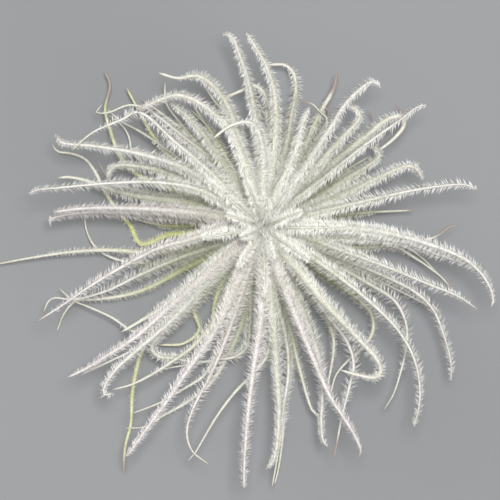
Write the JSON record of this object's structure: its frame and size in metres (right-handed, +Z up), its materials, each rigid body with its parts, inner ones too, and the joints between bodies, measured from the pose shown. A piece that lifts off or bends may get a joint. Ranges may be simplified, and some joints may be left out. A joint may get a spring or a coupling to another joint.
{
  "type": "tillandsia tectorum air plant",
  "caption": "Fuzzy white rosette of narrow arching leaves on a short woody stem, an air plant that rests on its flat stem foot.",
  "frame": {"origin": "middle of the stem's flat underside, on the surface that the plant rests on", "axes": "+Z up along the stem, +Y towards the top of a view from above, +X to its right"},
  "size_m": [0.1506, 0.1359, 0.0679],
  "materials": {
    "scurfy_leaf": "matt, thick white hairs",
    "green_leaf": "matt, sparse short hairs",
    "thin_leaf": "matt, drying, with thin white hairs",
    "heart": "matt, thick white hairs",
    "stem": "dry, fibrous"
  },
  "bodies": {
    "root": {"stem": "stem", "heart": "heart", "leaf_01": "green_leaf", "leaf_02": "green_leaf", "leaf_03": "green_leaf", "leaf_04": "green_leaf", "leaf_05": "green_leaf", "leaf_06": "thin_leaf", "leaf_07": "thin_leaf", "leaf_08": "thin_leaf", "leaf_09": "thin_leaf", "leaf_10": "green_leaf", "leaf_11": "green_leaf", "leaf_12": "thin_leaf", "leaf_13": "green_leaf", "leaf_14": "thin_leaf", "leaf_15": "green_leaf", "leaf_16": "green_leaf", "leaf_17": "green_leaf", "leaf_18": "thin_leaf", "leaf_19": "scurfy_leaf", "leaf_20": "thin_leaf", "leaf_21": "green_leaf", "leaf_22": "thin_leaf", "leaf_23": "green_leaf", "leaf_24": "green_leaf", "leaf_25": "scurfy_leaf", "leaf_26": "thin_leaf", "leaf_27": "thin_leaf", "leaf_28": "thin_leaf", "leaf_29": "green_leaf", "leaf_30": "scurfy_leaf", "leaf_31": "thin_leaf", "leaf_32": "thin_leaf", "leaf_33": "green_leaf", "leaf_34": "scurfy_leaf", "leaf_35": "green_leaf", "leaf_36": "scurfy_leaf", "leaf_37": "scurfy_leaf", "leaf_38": "scurfy_leaf", "leaf_39": "thin_leaf", "leaf_40": "scurfy_leaf", "leaf_41": "scurfy_leaf", "leaf_42": "scurfy_leaf", "leaf_43": "thin_leaf", "leaf_44": "scurfy_leaf", "leaf_45": "green_leaf", "leaf_46": "scurfy_leaf", "leaf_47": "scurfy_leaf", "leaf_48": "thin_leaf", "leaf_49": "scurfy_leaf", "leaf_50": "scurfy_leaf", "leaf_51": "green_leaf", "leaf_52": "scurfy_leaf", "leaf_53": "green_leaf", "leaf_54": "scurfy_leaf", "leaf_55": "scurfy_leaf", "leaf_56": "scurfy_leaf", "leaf_57": "scurfy_leaf", "leaf_58": "scurfy_leaf"}
  },
  "joints": []
}
